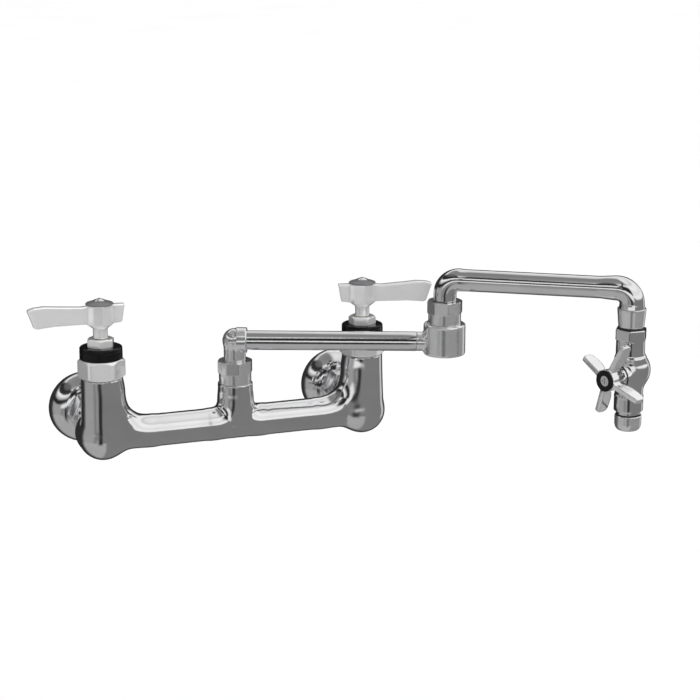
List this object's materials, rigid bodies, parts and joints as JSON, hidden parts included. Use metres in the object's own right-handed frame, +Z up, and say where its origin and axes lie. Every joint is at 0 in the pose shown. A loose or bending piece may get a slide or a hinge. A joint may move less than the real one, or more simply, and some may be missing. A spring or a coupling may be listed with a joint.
{
  "type": "wall-mounted swing spout faucet",
  "caption": "Wall-mounted chrome faucet with lever valves on a cross bar, a double-jointed swing spout and a cross-handle shut-off valve above the outlet nozzle.",
  "frame": {"origin": "on the wall plane, midway between the two pipe inlets, at the height of their axes", "axes": "+X along the wall to the right as seen from the room, +Y into the wall, +Z up"},
  "size_m": [0.4312, 0.2329, 0.1427],
  "materials": {
    "cast_chrome": "polished",
    "turned_chrome": "satin",
    "cap_grey": "satin",
    "black_plastic": "semi-gloss",
    "rubber": "matte",
    "packing": "matte",
    "brass": "machined",
    "ceramic": "lapped"
  },
  "bodies": {
    "base": {"faucet_body": "cast_chrome", "left_flange": "cast_chrome", "right_flange": "cast_chrome", "left_coupling_nut": "turned_chrome", "right_coupling_nut": "turned_chrome", "left_inlet_washer": "rubber", "right_inlet_washer": "rubber", "left_bonnet": "turned_chrome", "right_bonnet": "turned_chrome", "left_collar": "black_plastic", "right_collar": "black_plastic", "left_packing_nut": "turned_chrome", "right_packing_nut": "turned_chrome", "left_packing": "packing", "right_packing": "packing", "left_cartridge": "brass", "right_cartridge": "brass", "left_fixed_disc": "ceramic", "right_fixed_disc": "ceramic", "left_seat_seal": "rubber", "right_seat_seal": "rubber", "spout_nut": "turned_chrome"},
    "left_lever_set": {"left_stem": "brass", "left_moving_disc": "ceramic", "left_lever": "cast_chrome", "left_cap": "cap_grey", "left_cap_screw": "cast_chrome"},
    "right_lever_set": {"right_stem": "brass", "right_moving_disc": "ceramic", "right_lever": "cast_chrome", "right_cap": "cap_grey", "right_cap_screw": "cast_chrome"},
    "lower_arm_set": {"spout_elbow": "turned_chrome", "elbow_rings": "rubber", "lower_arm": "turned_chrome", "knuckle": "turned_chrome", "knuckle_nut": "turned_chrome"},
    "upper_arm_set": {"upper_arm": "cast_chrome", "upper_arm_rings": "rubber", "outlet_sleeve": "turned_chrome", "outlet_gasket": "rubber", "control_body": "cast_chrome", "control_gasket": "rubber", "control_bonnet": "turned_chrome", "control_packing_nut": "turned_chrome", "nozzle_gasket": "rubber", "nozzle": "turned_chrome", "flow_straightener": "turned_chrome"},
    "washer_set": {"control_washer": "rubber"},
    "cross_set": {"control_stem": "brass", "cross_handle": "cast_chrome", "index_ring": "black_plastic", "cross_screw": "turned_chrome"}
  },
  "joints": [
    {"name": "left_lever_turn", "type": "hinge", "parent": "base", "child": "left_lever_set", "pos_m": [-0.1016, -0.067, 0.087], "axis": [0, 0, 1], "range_deg": [0, 90]},
    {"name": "right_lever_turn", "type": "hinge", "parent": "base", "child": "right_lever_set", "pos_m": [0.1016, -0.067, 0.087], "axis": [0, 0, 1], "range_deg": [-90, 0]},
    {"name": "lower_arm_swing", "type": "hinge", "parent": "base", "child": "lower_arm_set", "pos_m": [0, -0.067, 0.059], "axis": [0, 0, 1], "range_deg": [-98, 6]},
    {"name": "upper_arm_swing", "type": "hinge", "parent": "lower_arm_set", "child": "upper_arm_set", "pos_m": [0.14542, -0.12457, 0.09], "axis": [0, 0, 1], "range_deg": [-98, 61]},
    {"name": "control_travel", "type": "slide", "parent": "upper_arm_set", "child": "washer_set", "axis": [-0.9348, -0.3551, 0], "range_m": [0, 0.00361]},
    {"name": "cross_handle_turn", "type": "hinge", "parent": "washer_set", "child": "cross_set", "pos_m": [0.26064, -0.19997, 0.042], "axis": [-0.9348, -0.3551, 0], "range_deg": [0, 540]}
  ],
  "couplings": [
    {"joint": "control_travel", "follows": "cross_handle_turn", "m_per_rad": 0.00038197}
  ]
}
